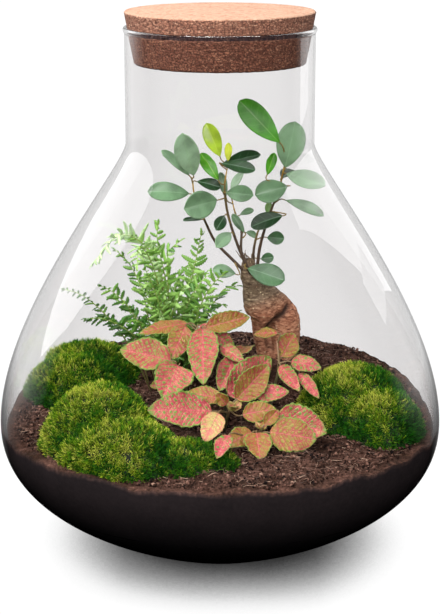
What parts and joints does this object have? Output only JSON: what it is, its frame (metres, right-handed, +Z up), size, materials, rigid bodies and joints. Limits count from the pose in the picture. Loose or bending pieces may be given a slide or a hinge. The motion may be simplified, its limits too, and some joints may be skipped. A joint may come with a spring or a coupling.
{
  "type": "planted glass terrarium",
  "caption": "Flask-shaped glass terrarium with a cork stopper, planted with a small ficus, a fern, a pink-leaved fittonia and cushions of moss in potting soil.",
  "frame": {"origin": "centre of the vessel's flat foot ring, on the surface it stands on", "axes": "+Z up through the neck, -Y towards the front of the planting, +X to the right seen from the front"},
  "size_m": [0.28, 0.28, 0.337],
  "materials": {
    "clear_glass": "clear, fire-polished, smooth",
    "pressed_cork": "agglomerated cork granules, sanded top, open-grained side",
    "potting_soil": "damp crumbly peat and coir",
    "cushion_moss": "dense upright moss shoots",
    "ficus_bark": "thin wrinkled bark",
    "ficus_leaf": "waxy, smooth, satin",
    "fern_leaf": "thin, soft, slightly glossy",
    "fittonia_leaf": "net-veined, satin, green-edged"
  },
  "bodies": {
    "root": {"glass_vessel": "clear_glass", "cork_stopper": "pressed_cork", "potting_soil": "potting_soil", "moss_cushion_left": "cushion_moss", "moss_cushion_front": "cushion_moss", "moss_cushion_right": "cushion_moss", "ficus_trunk": "ficus_bark", "ficus_leafy_stem_1": "ficus_leaf", "ficus_leafy_stem_2": "ficus_leaf", "ficus_leafy_stem_3": "ficus_leaf", "ficus_leafy_stem_4": "ficus_leaf", "ficus_leafy_stem_5": "ficus_leaf", "fern_frond_1": "fern_leaf", "fern_frond_2": "fern_leaf", "fern_frond_3": "fern_leaf", "fern_frond_4": "fern_leaf", "fern_frond_5": "fern_leaf", "fern_frond_6": "fern_leaf", "fern_frond_7": "fern_leaf", "fern_frond_8": "fern_leaf", "fern_frond_9": "fern_leaf", "fern_frond_10": "fern_leaf", "fern_frond_11": "fern_leaf", "fern_frond_12": "fern_leaf", "fern_frond_13": "fern_leaf", "fern_frond_14": "fern_leaf", "fern_frond_15": "fern_leaf", "fittonia_leafy_stem_1": "fittonia_leaf", "fittonia_leafy_stem_2": "fittonia_leaf", "fittonia_leafy_stem_3": "fittonia_leaf", "fittonia_leafy_stem_4": "fittonia_leaf", "fittonia_leafy_stem_5": "fittonia_leaf", "fittonia_leafy_stem_6": "fittonia_leaf"}
  },
  "joints": []
}
